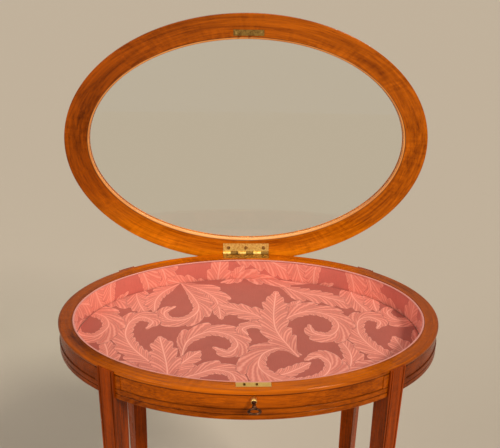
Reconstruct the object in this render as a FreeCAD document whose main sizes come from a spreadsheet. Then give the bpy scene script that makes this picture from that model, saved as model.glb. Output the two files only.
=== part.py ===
import FreeCAD, Part
import os
import re

# Oval display table. Millimetres, +Z up, +Y to the back; the origin is on the floor
# under the centre of the case. The lid stands open, leaning on the back of the rim.

SIZES = {
    # case
    "case_length": 584,
    "case_width": 396,
    "rim_height": 712,
    "rim_width": 21,
    "rim_thickness": 7,
    "rim_round": 2.6,
    "case_depth": 48,
    "frieze_inset": 1.5,
    # legs and their joints
    "leg_position": 46,
    "leg_top_size": 28,
    "leg_foot_size": 19,
    "leg_proud": 3,
    "leg_top_drop": 1.2,
    "groove_width": 1.6,
    "groove_depth": 1.2,
    "groove_margin": 3.4,
    "tenon_thickness": 8,
    "tenon_height": 24,
    "tenon_length": 11.5,
    "tenon_root": 4,
    "joint_clearance": 0.1,
    "mortise_clearance": 0.15,
    "mortise_spare": 0.5,
    # mouldings on the frieze
    "moulding_height": 8.4,
    "moulding_proud": 1.4,
    "moulding_round": 1.1,
    "moulding_gap": 0.3,
    "mitre_step": 0.1,
    "base_lift": 1,
    "glue_gap": 0.12,
    # bottom board and lining
    "board_lift": -1,
    "board_thickness": 9,
    "board_inset": 8,
    "board_clearance": 0.3,
    "board_notch_clearance": 0.5,
    "board_screw_head": 6.4,
    "board_screw_shank": 3.2,
    "board_screw_length": 17,
    "board_screw_position": 18,
    "lining_thickness": 2.5,
    "lining_drop": 2.6,
    "pad_thickness": 2.5,
    "soft_clearance": 0.3,
    "braid_width": 3.2,
    "braid_thickness": 1.8,
    # lid
    "open_angle": 97,
    "lid_gap": 0.3,
    "lid_overhang": 15,
    "lid_thickness": 16,
    "lid_frame_width": 37.5,
    "lid_top_round": 6,
    "lid_under_round": 1.2,
    "lid_inner_round": 2,
    "lid_joint_position": 46,
    "lip_width": 4,
    "lip_thickness": 5,
    "tongue_width": 22,
    "tongue_length": 24,
    "tongue_thickness": 4,
    "tongue_lift": 2,
    "glass_thickness": 3,
    "glass_clearance": 0.5,
    "glass_bed": 0.25,
    "bead_width": 3.5,
    "bead_recess": 0.3,
    "bead_round": 1.6,
    # hinge
    "hinge_length": 80,
    "hinge_offset": 0.7,
    "leaf_width": 18,
    "leaf_thickness": 1.5,
    "leaf_screw_reach": 9.8,
    "knuckle_radius": 3,
    "knuckle_count": 6,
    "knuckle_gap": 0.2,
    "pin_radius": 1.3,
    "running_clearance": 0.05,
    "recess_clearance": 0.2,
    "hinge_screw_head": 6.4,
    "hinge_screw_shank": 2.6,
    "hinge_screw_length": 12,
    "hinge_screw_spacing": 31,
    "screw_clearance": 0.1,
    "slot_width": 0.8,
    "slot_depth": 0.6,
    # lock, link plate and key
    "selvedge_length": 48,
    "selvedge_width": 9.5,
    "selvedge_thickness": 2,
    "lock_length": 38,
    "lock_offset": -2,
    "lock_height": 18,
    "lock_depth": 9,
    "lock_wall": 1,
    "lock_back": 1.2,
    "lock_plate_drop": 8,
    "small_screw_head": 4.4,
    "small_screw_shank": 2.2,
    "small_screw_length": 12,
    "lock_screw_spacing": 32,
    "link_screw_spacing": 41.6,
    "link_length": 50,
    "link_width": 9.5,
    "link_thickness": 1.6,
    "hook_offset": -4,
    "hook_spacing": 17,
    "hook_thickness": 2.5,
    "hook_width": 5,
    "hook_length": 6.6,
    "hook_clearance": 0.4,
    "eye_width": 2.8,
    "eye_height": 2.7,
    "eye_sill": 1.2,
    "bolt_throw": 4,
    "bolt_thickness": 1.8,
    "bolt_clearance": 0.3,
    "bolt_end": 1.2,
    "beak_height": 2,
    "key_drop": 12.5,
    "bit_radius": 5.5,
    "bit_thickness": 2,
    "bit_length": 1.9,
    "bit_engagement": 1.3,
    "talon_width": 8.4,
    "talon_end": 0.9,
    "shank_radius": 2.4,
    "pipe_depth": 8,
    "drill_pin_radius": 1.2,
    "collar_radius": 4.3,
    "collar_thickness": 3,
    "collar_gap": 0.8,
    "shank_reach": 16,
    "bow_length": 14,
    "bow_width": 19.5,
    "bow_rim": 3,
    "bow_thickness": 2.4,
    "bow_round": 0.9,
    "escutcheon_wall": 0.9,
    "escutcheon_depth": 5,
    "keyhole_clearance": 0.4,
}

DERIVED = {
    "half_length": "case_length / 2",
    "half_width": "case_width / 2",
    "rail_top": "rim_height - rim_thickness",
    "case_bottom": "rim_height - case_depth",
    "board_bottom": "case_bottom + board_lift",
    "board_top": "board_bottom + board_thickness",
    "ledge_inset": "frieze_inset + board_inset",
    "lining_inset": "rim_width + soft_clearance",
    "lining_floor": "board_top + soft_clearance",
    "lining_top": "rim_height - lining_drop",
    "base_bottom": "case_bottom + base_lift",
    "base_top": "base_bottom + moulding_height",
    "panel_bottom": "base_top + moulding_gap",
    "panel_foot_top": "panel_bottom + moulding_height",
    "panel_top": "rail_top - glue_gap",
    "leg_turn": "atan2(sin(leg_position * 1deg) / half_width; cos(leg_position * 1deg) / half_length) / 1deg",
    "leg_setback": "leg_proud - leg_top_size / 2",
    "leg_x": "half_length * cos(leg_position * 1deg) + leg_setback * cos(leg_turn * 1deg)",
    "leg_y": "half_width * sin(leg_position * 1deg) + leg_setback * sin(leg_turn * 1deg)",
    "leg_space": "leg_top_size + 2 * joint_clearance",
    "rail_middle": "(leg_top_size - frieze_inset - rim_width) / 2 - leg_proud",
    "tenon_bottom": "(board_top + rail_top - tenon_height) / 2",
    "hinge_y": "half_width + hinge_offset",
    "hinge_z": "rim_height + lid_gap / 2",
    "lid_under": "lid_gap / 2",
    "lid_top": "lid_under + lid_thickness",
    "rebate_inset": "lid_frame_width - lid_overhang",
    "lid_middle_inset": "lid_frame_width / 2 - lid_overhang",
    "lid_joint_turn": "atan2(sin(lid_joint_position * 1deg) / (half_width - lid_middle_inset);"
                      " cos(lid_joint_position * 1deg) / (half_length - lid_middle_inset)) / 1deg",
    "lid_joint_x": "(half_length - lid_middle_inset) * cos(lid_joint_position * 1deg)",
    "lid_joint_y": "(half_width - lid_middle_inset) * sin(lid_joint_position * 1deg)",
    "glass_top": "lid_top - lip_thickness - glass_bed",
    "glass_under": "glass_top - glass_thickness",
    "knuckle_length": "hinge_length / knuckle_count",
    "lock_back_y": "rim_width - half_width - soft_clearance",
    "lock_front_y": "lock_back_y - lock_depth",
    "lock_bottom": "rim_height - selvedge_thickness - lock_height",
    "slot_y": "lock_back_y - lock_back - hook_clearance - hook_width / 2",
    "key_z": "rim_height - key_drop",
    "bolt_top": "rim_height - selvedge_thickness - bolt_clearance",
    "bolt_bottom": "key_z + drill_pin_radius + 2 * bolt_clearance",
    "talon_bottom": "key_z + bit_radius - bit_engagement",
    "hook_reach": "hook_length - lid_gap",
    "beak_middle": "rim_height - hook_reach + eye_sill + eye_height / 2",
    "notch_bottom": "rim_height - hook_reach - hook_clearance",
    "bolt_front_y": "slot_y - bolt_thickness / 2",
    "bit_back_y": "bolt_front_y - bolt_clearance",
    "bit_front_y": "bit_back_y - bit_length",
    "collar_back_y": "frieze_inset - half_width - collar_gap",
    "bow_back_y": "collar_back_y - collar_thickness - shank_reach",
}

QUARTERS = {"back_right": (1, 1), "back_left": (-1, 1), "front_left": (-1, -1), "front_right": (1, -1)}
SIDES = {"front": (0, -1), "back": (0, 1), "left": (-1, 0), "right": (1, 0)}

doc = FreeCAD.newDocument("display_table")
pieces = []
full_names = {}


# ---------------------------------------------------------------- sizes and formulas

def formula(text):
    """Give every size in a formula its full name in the document."""
    return re.sub(r"[a-z]+(?:_[a-z]+)*", lambda word: full_names.get(word.group(0), word.group(0)), str(text))


def write_sizes():
    sheet = doc.addObject("Spreadsheet::Sheet", "Sizes")
    for row, (name, value) in enumerate(SIZES.items(), start=1):
        sheet.set("A%d" % row, name)
        sheet.set("B%d" % row, str(value))
        sheet.setAlias("B%d" % row, name)
        full_names[name] = "Sizes." + name
    derived = doc.addObject("App::VarSet", "Derived")
    for name, text in DERIVED.items():
        derived.addProperty("App::PropertyFloat", name, "Derived")
        derived.setExpression(name, formula(text))
        full_names[name] = "Derived." + name
    doc.recompute()


def bind(thing, **sizes):
    for name, text in sizes.items():
        thing.setExpression(name, formula(text))
    return thing


def place(thing, x="0", y="0", z="0", axis=None, angle=None):
    """Tie an object's place to the sizes, and its turn about one axis."""
    if axis:
        thing.Placement.Rotation = FreeCAD.Rotation(FreeCAD.Vector(*axis), 90)
        thing.setExpression("Placement.Rotation.Angle", formula("(%s) * 1deg" % angle))
    for letter, text in zip("xyz", (x, y, z)):
        thing.setExpression("Placement.Base." + letter, formula(text))
    return thing


# ---------------------------------------------------------------- basic solids

def box(name, length, width, height, x="0", y="0", z="0"):
    """A block centred on x and y, standing on z."""
    block = bind(doc.addObject("Part::Box", name), Length=length, Width=width, Height=height)
    return place(block, "%s - (%s) / 2" % (x, length), "%s - (%s) / 2" % (y, width), z)


def rod(name, radius, length, x="0", y="0", z="0", axis=None, angle=None):
    return place(bind(doc.addObject("Part::Cylinder", name), Radius=radius, Height=length), x, y, z, axis, angle)


def cone(name, first, last, length, z="0"):
    return place(bind(doc.addObject("Part::Cone", name), Radius1=first, Radius2=last, Height=length), z=z)


def ellipse_disc(name, long_half, short_half, x, y, bottom, top):
    curve = bind(doc.addObject("Part::Ellipse", name + "_curve"), MajorRadius=long_half, MinorRadius=short_half)
    place(curve, x, y, bottom)
    disc = doc.addObject("Part::Extrusion", name)
    disc.Base = curve
    disc.DirMode = "Custom"
    disc.Dir = FreeCAD.Vector(0, 0, 1)
    disc.Solid = True
    return bind(disc, LengthFwd="(%s) - (%s)" % (top, bottom))


def oval(name, inset, bottom, top, y="0"):
    """The rim's oval, drawn in by inset, as a disc from bottom to top."""
    return ellipse_disc(name, "half_length - (%s)" % inset, "half_width - (%s)" % inset, "0", y, bottom, top)


def fuse(name, *solids):
    if len(solids) == 1:
        return solids[0]
    joined = doc.addObject("Part::MultiFuse", name)
    joined.Shapes = list(solids)
    return joined


def cut(name, base, *tools):
    result = doc.addObject("Part::Cut", name)
    result.Base = base
    result.Tool = fuse(name + "_tools", *tools)
    return result


def common(name, base, tool):
    result = doc.addObject("Part::Common", name)
    result.Base = base
    result.Tool = tool
    return result


def oval_ring(name, outer, inner, bottom, top, y="0"):
    hole = oval(name + "_hole", inner, "(%s) - 1" % bottom, "(%s) + 1" % top, y)
    return cut(name, oval(name + "_disc", outer, bottom, top, y), hole)


def round_oval_edges(name, ring, rounds, half_length=None):
    """Round the ring's oval edges: rounds lists (inset, height, radius) as numbers."""
    doc.recompute()
    length = half_length or doc.Derived.half_length
    chosen = []
    for number, edge in enumerate(ring.Shape.Edges, start=1):
        limits = edge.BoundBox
        for inset, height, radius in rounds:
            level = abs(limits.ZMin - height) < 0.01 and abs(limits.ZMax - height) < 0.01
            if level and abs(limits.XMax - length + inset) < 0.5 and abs(limits.XMin + length - inset) < 0.5:
                chosen.append((number, radius, radius))
    result = doc.addObject("Part::Fillet", name)
    result.Base = ring
    result.Edges = chosen
    return result


def screw(name, kind, x, y, z, clearance="0", turn="0"):
    """A countersunk wood screw pointing up, or turned about X; with a clearance, the hole it goes in."""
    head = "%s_head / 2 + %s" % (kind, clearance)
    shank = "%s_shank / 2 + %s" % (kind, clearance)
    sink = "(%s_head - %s_shank) / 2" % (kind, kind)
    tip = "%s_shank" % kind
    straight = "%s_length - %s - %s" % (kind, sink, tip)
    parts = [
        cone(name + "_head", head, shank, sink),
        rod(name + "_shank", shank, straight, z=sink),
        cone(name + "_tip", shank, "(%s) / 4" % shank, tip, z="%s + %s" % (sink, straight)),
    ]
    body = fuse(name + "_body", *parts)
    if clearance == "0":
        slot = box(name + "_slot", "%s_head + 1" % kind, "slot_width", "slot_depth + 1", z="-1")
        body = cut(name, body, slot)
    return place(body, x, y, z, (1, 0, 0), turn)


def mirrored(name, left):
    """The right-hand twin of a left-hand piece."""
    twin = doc.addObject("Part::Mirroring", name)
    twin.Source = left
    twin.Normal = FreeCAD.Vector(1, 0, 0)
    return twin


def group(name, solids):
    result = doc.addObject("Part::Compound", name)
    result.Links = solids
    return result


def piece(thing, name):
    """Name a finished sub-part and keep it for the list of files."""
    thing.Label = name
    pieces.append(thing)
    return thing


def on_lid(thing):
    """Move a piece drawn about the hinge line, lid closed, to the open lid."""
    return place(thing, "0", "hinge_y", "hinge_z", (1, 0, 0), "-open_angle")


def signed(sign, text):
    return "%d * (%s)" % (sign, text)


def corner_turn(sx, sy, angle):
    """The outward direction at a corner, from the same angle at the back right one."""
    if sx == sy:
        return "%s%s" % ("" if sx > 0 else "180 + ", angle)
    return "180 - %s" % angle if sy > 0 else "-%s" % angle


def at_leg(thing, sx, sy):
    """Turn a piece drawn with +X outwards to face out at a leg, and put it there."""
    return place(thing, signed(sx, "leg_x"), signed(sy, "leg_y"), "0", (0, 0, 1), corner_turn(sx, sy, "leg_turn"))


def leg_spaces(name, width, bottom="case_bottom - 1", top="rim_height + 1"):
    """Four blocks, one at each leg, as wide as asked along the rail."""
    reach = "2 * leg_top_size"
    return [at_leg(fuse_one(box("%s_%s" % (name, corner), reach, width, "(%s) - (%s)" % (top, bottom), z=bottom)),
                   sx, sy)
            for corner, (sx, sy) in QUARTERS.items()]


def fuse_one(solid):
    """Wrap one solid, so that it can be turned as a whole about the part's own axes."""
    wrap = doc.addObject("Part::Compound", solid.Name + "_wrap")
    wrap.Links = [solid]
    return wrap


def side_block(name, side):
    """A block that holds one side of the case: beyond the legs' axes at the ends, between them in front."""
    dx, dy = SIDES[side]
    if dx:
        return box(name, "case_length", "case_width", "rim_height", signed(dx, "leg_x + case_length / 2"))
    return box(name, "2 * leg_x", "case_width", "rim_height", "0", signed(dy, "case_width / 2"))


# ---------------------------------------------------------------- case

def for_each_side(stem, make):
    """The front, back and left pieces of a kind, and the right one as the left one's twin."""
    for side in ("front", "back", "left"):
        name = "%s_%s" % (stem, side)
        left = piece(make(name, side), name)
    piece(mirrored(stem + "_right", left), stem + "_right")


def tenon(name, sx, sy, towards, spare, clearance):
    """The block that joins a rail to a leg, on the leg's side that faces along the rail."""
    length = "tenon_length + tenon_root + %s" % spare
    middle = "leg_top_size / 2 + tenon_root - (%s) / 2" % length
    block = box(name, "tenon_thickness + 2 * %s" % clearance, length, "tenon_height + 2 * %s" % clearance,
                "rail_middle", signed(towards, middle), "tenon_bottom - %s" % clearance)
    return at_leg(fuse_one(block), sx, sy)


def leg(corner):
    sx, sy = QUARTERS[corner]
    name = "leg_" + corner
    taper = doc.addObject("Part::Wedge", name + "_taper")
    bind(taper, Xmin="-leg_foot_size / 2", Xmax="leg_foot_size / 2", Zmin="-leg_foot_size / 2",
         Zmax="leg_foot_size / 2", X2min="-leg_top_size / 2", X2max="leg_top_size / 2",
         Z2min="-leg_top_size / 2", Z2max="leg_top_size / 2", Ymin="0", Ymax="case_bottom")
    place(taper, axis=(1, 0, 0), angle="90")
    block = box(name + "_block", "leg_top_size", "leg_top_size", "case_depth - leg_top_drop", z="case_bottom")
    solid = at_leg(fuse(name + "_blank", taper, block), sx, sy)
    grooves = []
    for side, mark in ((-1, "a"), (1, "b")):
        offset = signed(side, "leg_top_size / 2 - groove_margin")
        foot_offset = signed(side, "leg_foot_size / 2 - groove_margin * leg_foot_size / leg_top_size")
        low = doc.addObject("Part::Wedge", "%s_low_groove_%s" % (name, mark))
        bind(low, Xmin="leg_foot_size / 2 - groove_depth / 2", Xmax="leg_foot_size / 2 + 1",
             X2min="leg_top_size / 2 - groove_depth", X2max="leg_top_size / 2 + 1",
             Zmin="%s - groove_width / 3" % foot_offset, Zmax="%s + groove_width / 3" % foot_offset,
             Z2min="%s - groove_width / 2" % offset, Z2max="%s + groove_width / 2" % offset,
             Ymin="0", Ymax="case_bottom")
        place(low, axis=(1, 0, 0), angle="90")
        high = box("%s_high_groove_%s" % (name, mark), "groove_depth + 1", "groove_width", "case_depth",
                   "(leg_top_size - groove_depth + 1) / 2", signed(-side, "leg_top_size / 2 - groove_margin"),
                   "case_bottom")
        grooves.append(at_leg(fuse("%s_groove_%s" % (name, mark), low, high), sx, sy))
    mortises = [tenon("%s_mortise_%s" % (name, mark), sx, sy, towards, "mortise_spare", "mortise_clearance")
                for towards, mark in ((-1, "a"), (1, "b"))]
    rim_space = oval(name + "_rim_space", "-joint_clearance", "rail_top", "rim_height + 1")
    inside = oval(name + "_inside", "rim_width", "board_top", "rim_height + 1")
    piece(cut(name, solid, rim_space, inside, *grooves, *mortises), name)


def frieze_ring():
    ring = oval_ring("frieze_ring", "frieze_inset", "rim_width", "case_bottom", "rail_top")
    rebate = oval("frieze_rebate", "ledge_inset - board_clearance", "case_bottom - 1", "board_top")
    return cut("frieze_between_legs", ring, rebate, *leg_spaces("rail_gap", "leg_space"))


def rail_corners(side):
    """The two legs that a rail runs between, and the way it leaves each."""
    ends = []
    for corner, (sx, sy) in QUARTERS.items():
        if side in corner.split("_"):
            runs_to_middle = side in ("front", "back")
            ends.append((corner, sx, sy, sx * sy if runs_to_middle else -sx * sy))
    return ends


def frieze_rail(name, side, ring, tools):
    curved = common(name + "_curve", ring, side_block(name + "_side", side))
    tenons = [tenon("%s_tenon_%s" % (name, corner), sx, sy, towards, "0", "0")
              for corner, sx, sy, towards in rail_corners(side)]
    return cut(name, fuse(name + "_rail", curved, *tenons), *tools)


def base_mouldings():
    ring = oval_ring("base_ring", "frieze_inset - moulding_proud", "frieze_inset - glue_gap",
                     "base_bottom", "base_top")
    rounded = rounded_moulding("base_rounded", ring, "base_bottom", "base_top")
    parted = cut("base_between_legs", rounded, *leg_spaces("base_gap", "leg_space"))
    for_each_side("base_moulding", lambda name, side: common(name, parted, side_block(name + "_side", side)))


def rounded_moulding(name, ring, bottom, top):
    inset = SIZES["frieze_inset"] - SIZES["moulding_proud"]
    radius = SIZES["moulding_round"]
    heights = [doc.Derived.getPropertyByName(level) for level in (bottom, top)]
    return round_oval_edges(name, ring, [(inset, height, radius) for height in heights])


def panel_mouldings():
    """A moulding along the foot of each panel and up both its ends, beside the legs."""
    foot = oval_ring("panel_foot_ring", "frieze_inset - moulding_proud", "frieze_inset - glue_gap",
                     "panel_bottom", "panel_foot_top")
    foot_rounded = rounded_moulding("panel_foot_rounded", foot, "panel_bottom", "panel_foot_top")
    upright = oval_ring("panel_end_ring", "frieze_inset - moulding_proud + mitre_step",
                        "frieze_inset - glue_gap - mitre_step", "panel_foot_top - moulding_round - 1", "panel_top")
    ends = [common("panel_end_%d" % number, upright, block)
            for number, block in enumerate(leg_spaces("panel_end", "leg_space + 2 * moulding_height"))]
    whole = fuse("panel_whole", foot_rounded, *ends)
    parted = cut("panel_between_legs", whole, *leg_spaces("panel_gap", "leg_space"))
    for_each_side("panel_moulding", lambda name, side: common(name, parted, side_block(name + "_side", side)))


def board_screw_places():
    """Two screws a quarter, on the ledge that the board lies against."""
    reach = "(rim_width + ledge_inset) / 2"
    places = []
    for corner, (sx, sy) in QUARTERS.items():
        for mark, angle in (("a", "board_screw_position"), ("b", "(90 - board_screw_position)")):
            x = signed(sx, "(half_length - %s) * cos(%s * 1deg)" % (reach, angle))
            y = signed(sy, "(half_width - %s) * sin(%s * 1deg)" % (reach, angle))
            places.append(("%s_%s" % (corner, mark), x, y))
    return places


def bottom_board():
    board = oval("board_disc", "ledge_inset", "board_bottom", "board_top")
    notches = leg_spaces("board_notch", "leg_top_size + 2 * board_notch_clearance")
    holes = [screw("board_hole_" + mark, "board_screw", x, y, "board_bottom", "screw_clearance")
             for mark, x, y in board_screw_places()]
    deep = cut("board_notched", board, *notches_around_legs(notches))
    piece(cut("bottom_board", deep, *holes), "bottom_board")
    screws = [screw("board_screw_" + mark, "board_screw", x, y, "board_bottom")
              for mark, x, y in board_screw_places()]
    piece(group("board_screws", screws), "board_screws")


def notches_around_legs(notches):
    """Keep only the part of each notch that a leg fills, from its inner face outwards."""
    kept = []
    for number, (notch, (sx, sy)) in enumerate(zip(notches, QUARTERS.values())):
        leg_block = box("board_leg_%d" % number, "leg_top_size + board_notch_clearance", "2 * leg_top_size",
                        "case_depth", "-board_notch_clearance / 2", "0", "case_bottom - 1")
        kept.append(common("board_cut_%d" % number, notch, outwards(leg_block, sx, sy)))
    return kept


def outwards(block, sx, sy):
    """A block over the leg's square and everything beyond the case's outline."""
    beyond = box(block.Name + "_beyond", "2 * leg_top_size", "2 * leg_top_size", "case_depth",
                 "3 * leg_top_size / 2 - leg_proud", "0", "case_bottom - 1")
    return at_leg(fuse(block.Name + "_out", block, beyond), sx, sy)


def linings():
    piece(oval("floor_lining", "lining_inset + lining_thickness + soft_clearance", "lining_floor",
               "lining_floor + pad_thickness"), "floor_lining")
    piece(oval_ring("wall_lining", "lining_inset", "lining_inset + lining_thickness",
                    "lining_floor", "lining_top"), "wall_lining")
    piece(oval_ring("lining_braid", "lining_inset", "lining_inset + braid_width",
                    "lining_top + soft_clearance", "lining_top + soft_clearance + braid_thickness"),
          "lining_braid")


def top_rim():
    ring = oval_ring("rim_ring", "0", "rim_width", "rail_top", "rim_height")
    radius = SIZES["rim_round"]
    rounded = round_oval_edges("rim_rounded", ring, [(0, SIZES["rim_height"], radius),
                                                     (0, doc.Derived.rail_top, radius)])
    tools = [case_leaf_recess("rim_leaf_recess"), barrel_recess("rim_barrel_recess", "hinge_y", "hinge_z"),
             selvedge_recess("rim_selvedge_recess"), lock_recess("rim_lock_recess")]
    tools += case_hinge_screws("rim_hinge_hole", "screw_clearance")
    tools += lock_screw_set("rim_lock_hole", "screw_clearance")
    piece(cut("top_rim", rounded, *tools), "top_rim")


# ---------------------------------------------------------------- hinge

def case_leaf_recess(name):
    return box(name, "hinge_length + 2 * recess_clearance", "leaf_width + recess_clearance",
               "leaf_thickness + recess_clearance + 1", "0", "hinge_y - (leaf_width + recess_clearance) / 2",
               "rim_height - leaf_thickness - recess_clearance")


def barrel_recess(name, y, z):
    length = "hinge_length + 2 * recess_clearance"
    return rod(name, "knuckle_radius + recess_clearance", length, "-(%s) / 2" % length, y, z, (0, 1, 0), "90")


def hinge_screw_row(name, y, z, turn, clearance):
    return [screw("%s_%s" % (name, mark), "hinge_screw", signed(step, "hinge_screw_spacing"), y, z,
                  clearance, turn)
            for step, mark in ((-1, "left"), (0, "middle"), (1, "right"))]


def case_hinge_screws(name, clearance="0"):
    return hinge_screw_row(name, "hinge_y - leaf_screw_reach", "rim_height", "180", clearance)


def lid_hinge_screws(name, clearance="0"):
    return hinge_screw_row(name, "-leaf_screw_reach", "lid_under", "0", clearance)


def knuckles(name, y, z, first, spare):
    """Every second knuckle of the barrel; spare makes the space round each one."""
    made = []
    for number in range(first, SIZES["knuckle_count"], 2):
        length = "knuckle_length - knuckle_gap + 2 * (%s)" % spare
        start = "%d * knuckle_length - hinge_length / 2 + knuckle_gap / 2 - (%s)" % (number, spare)
        made.append(rod("%s_%d" % (name, number), "knuckle_radius + %s" % spare, length, start, y, z,
                        (0, 1, 0), "90"))
    return made


def hinge_leaf(name, y, z, plate_bottom, first, screw_holes):
    plate = box(name + "_plate", "hinge_length", "leaf_width", "leaf_thickness", "0",
                "%s - leaf_width / 2" % y, plate_bottom)
    other = 1 - first
    cleared = cut(name + "_cleared", plate, *knuckles(name + "_space", y, z, other, "knuckle_gap"))
    barrel = fuse(name + "_barrel", cleared, *knuckles(name + "_knuckle", y, z, first, "0"))
    bore = rod(name + "_bore", "pin_radius + running_clearance", "hinge_length + 2", "-hinge_length / 2 - 1",
               y, z, (0, 1, 0), "90")
    return cut(name, barrel, bore, *screw_holes)


def hinge():
    piece(hinge_leaf("hinge_case_leaf", "hinge_y", "hinge_z", "rim_height - leaf_thickness", 1,
                     case_hinge_screws("case_leaf_hole", "screw_clearance")), "hinge_case_leaf")
    lid_leaf = hinge_leaf("hinge_lid_leaf", "0", "0", "lid_under", 0,
                          lid_hinge_screws("lid_leaf_hole", "screw_clearance"))
    piece(on_lid(lid_leaf), "hinge_lid_leaf")
    piece(rod("hinge_pin", "pin_radius", "hinge_length", "-hinge_length / 2", "hinge_y", "hinge_z",
              (0, 1, 0), "90"), "hinge_pin")
    piece(group("hinge_case_screws", case_hinge_screws("case_hinge_screw")), "hinge_case_screws")
    piece(on_lid(group("hinge_lid_screws", lid_hinge_screws("lid_hinge_screw"))), "hinge_lid_screws")


# ---------------------------------------------------------------- lock and key

def selvedge_recess(name):
    """Open towards the inside of the case, where the lining covers it."""
    depth = "selvedge_width + recess_clearance + rim_width"
    return box(name, "selvedge_length + 2 * recess_clearance", depth, "selvedge_thickness + recess_clearance + 1",
               "0", "lock_back_y - selvedge_width - recess_clearance + (%s) / 2" % depth,
               "rim_height - selvedge_thickness - recess_clearance")


def lock_recess(name):
    """Room for the lock's box and, behind it, the wider back plate."""
    depth = "lock_depth + recess_clearance + rim_width"
    body = box(name + "_box", "lock_length + 2 * recess_clearance", depth, "lock_height + recess_clearance + 1",
               "lock_offset", "lock_front_y - recess_clearance + (%s) / 2" % depth, "lock_bottom - recess_clearance")
    depth = "lock_back + recess_clearance + rim_width"
    plate = box(name + "_plate", "selvedge_length + 2 * recess_clearance", depth,
                "lock_height + lock_plate_drop + recess_clearance + 1", "0",
                "lock_back_y - lock_back - recess_clearance + (%s) / 2" % depth,
                "lock_bottom - lock_plate_drop - recess_clearance")
    return fuse(name, body, plate)


def screw_pair(name, spacing, y, z, clearance, turn):
    return [screw("%s_%s" % (name, mark), "small_screw", signed(side, "%s / 2" % spacing), y, z, clearance, turn)
            for side, mark in ((-1, "left"), (1, "right"))]


def lock_screw_set(name, clearance="0"):
    return screw_pair(name, "lock_screw_spacing", "lock_back_y", "lock_bottom - lock_plate_drop / 2",
                      clearance, "90")


def keyhole(name, spare, front, back):
    """A round hole with a slot below it for the bit, through y from front to back."""
    length = "(%s) - (%s)" % (back, front)
    hole = rod(name + "_round", "shank_radius + %s" % spare, length, "0", front, "key_z", (1, 0, 0), "-90")
    slot = box(name + "_slot", "bit_thickness + 2 * (%s)" % spare, length, "bit_radius + %s" % spare,
               "0", "(%s) + (%s) / 2" % (front, length), "key_z - bit_radius - (%s)" % spare)
    return fuse(name, hole, slot)


def at_hooks(make):
    """One solid for each of the two hooks, made from its mark and its place along X."""
    return [make(mark, "hook_offset + %s" % signed(side, "hook_spacing / 2"))
            for side, mark in ((-1, "left"), (1, "right"))]


def lock_case():
    selvedge = box("selvedge_plate", "selvedge_length", "selvedge_width", "selvedge_thickness", "0",
                   "lock_back_y - selvedge_width / 2", "rim_height - selvedge_thickness")
    back_plate = box("lock_back_plate", "selvedge_length", "lock_back", "lock_height + lock_plate_drop + 1", "0",
                     "lock_back_y - lock_back / 2", "lock_bottom - lock_plate_drop")
    shell = box("lock_shell", "lock_length", "lock_depth - lock_wall", "lock_height + 1", "lock_offset",
                "lock_back_y - (lock_depth - lock_wall) / 2", "lock_bottom")
    room = box("lock_room", "lock_length - 2 * lock_wall", "lock_depth", "lock_height - lock_wall", "lock_offset",
               "lock_back_y - lock_back - lock_depth / 2", "lock_bottom + lock_wall")
    solid = cut("lock_case_hollow", fuse("lock_case_solid", shell, back_plate, selvedge), room)
    slots = at_hooks(lambda mark, x: box("selvedge_slot_" + mark, "hook_thickness + 2 * hook_clearance",
                                         "hook_width + hook_clearance", "selvedge_thickness + 2", x,
                                         "slot_y - hook_clearance / 2", "rim_height - selvedge_thickness - 1"))
    piece(cut("lock_case", solid, *slots, *lock_screw_set("lock_case_hole", "screw_clearance")), "lock_case")
    plate = box("lock_cap_plate", "lock_length", "lock_wall - joint_clearance", "lock_height", "lock_offset",
                "lock_front_y + (lock_wall - joint_clearance) / 2", "lock_bottom")
    hole = keyhole("lock_cap_keyhole", "keyhole_clearance", "lock_front_y - 1", "lock_front_y + lock_wall + 1")
    piece(cut("lock_cap", plate, hole), "lock_cap")
    piece(rod("lock_drill_pin", "drill_pin_radius", "lock_depth - lock_back - 2 * lock_wall", "0",
              "lock_back_y - lock_back - joint_clearance", "key_z", (1, 0, 0), "90"), "lock_drill_pin")
    piece(group("lock_screws", lock_screw_set("lock_screw")), "lock_screws")


def lock_bolt():
    """Drawn back, its beaks stand just left of the hooks' eyes; it shoots to +X."""
    reach = "hook_thickness / 2 + hook_clearance"
    left = "hook_spacing / 2 - hook_offset + %s + bolt_throw + bolt_end" % reach
    right = "hook_spacing / 2 + hook_offset + %s + bolt_end" % reach
    height = "bolt_top - bolt_bottom"
    middle = "(%s - (%s)) / 2" % (right, left)
    plate = box("bolt_plate", "%s + %s" % (left, right), "bolt_thickness", height, middle, "slot_y", "bolt_bottom")
    notches = at_hooks(lambda mark, x: box("bolt_notch_" + mark, "2 * (%s) + bolt_throw" % reach,
                                           "bolt_thickness + 2", height, x + " - bolt_throw / 2", "slot_y",
                                           "notch_bottom"))
    beaks = at_hooks(lambda mark, x: box("bolt_beak_" + mark, "bolt_throw + 1", "bolt_thickness", "beak_height",
                                         x + " - (%s) - (bolt_throw + 1) / 2" % reach, "slot_y",
                                         "beak_middle - beak_height / 2"))
    talons = [box("bolt_talon_" + mark, "talon_end", "bolt_front_y - bit_front_y + bolt_thickness / 2",
                  "notch_bottom - talon_bottom",
                  "%s - bolt_throw / 2" % signed(side, "(talon_width + talon_end) / 2"),
                  "(bolt_front_y + bit_front_y + bolt_thickness / 2) / 2", "talon_bottom")
              for side, mark in ((-1, "left"), (1, "right"))]
    piece(fuse("bolt_solid", cut("bolt_notched", plate, *notches), *beaks, *talons), "lock_bolt")


def escutcheon():
    """A keyhole-shaped brass lining, let in flush with the frieze."""
    front = "frieze_inset - half_width"
    back = "%s + escutcheon_depth" % front
    outside = keyhole("escutcheon_outside", "keyhole_clearance + escutcheon_wall", front, back)
    inside = keyhole("escutcheon_inside", "keyhole_clearance", "%s - 1" % front, "%s + 1" % back)
    piece(cut("escutcheon", outside, inside), "escutcheon")


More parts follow.
